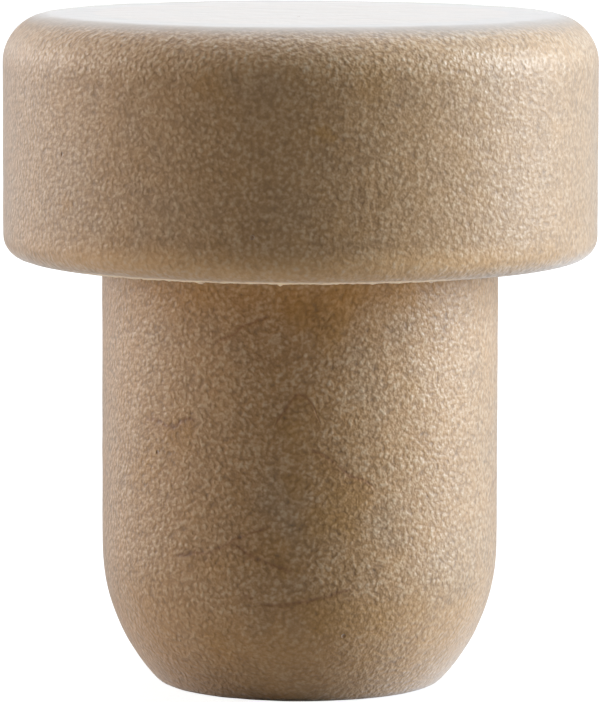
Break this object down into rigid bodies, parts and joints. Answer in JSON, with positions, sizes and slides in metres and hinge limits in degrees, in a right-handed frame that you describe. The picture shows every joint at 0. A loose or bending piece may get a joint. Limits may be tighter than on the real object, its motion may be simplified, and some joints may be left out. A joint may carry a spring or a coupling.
{
  "type": "t-top bottle stopper",
  "caption": "One-piece moulded bottle stopper with a wide round head, a plain press-in shank and a curved nose that ends in a small flat face.",
  "frame": {"origin": "centre of the flat end of the shank, which is the face that the stopper stands on", "axes": "+Z along the stopper's axis, from the shank up to the head; it is turned about Z, so X and Y are alike"},
  "size_m": [0.0292, 0.0292, 0.033],
  "materials": {
    "synthetic_cork": "satin"
  },
  "bodies": {
    "root": {"stopper": "synthetic_cork"}
  },
  "joints": []
}
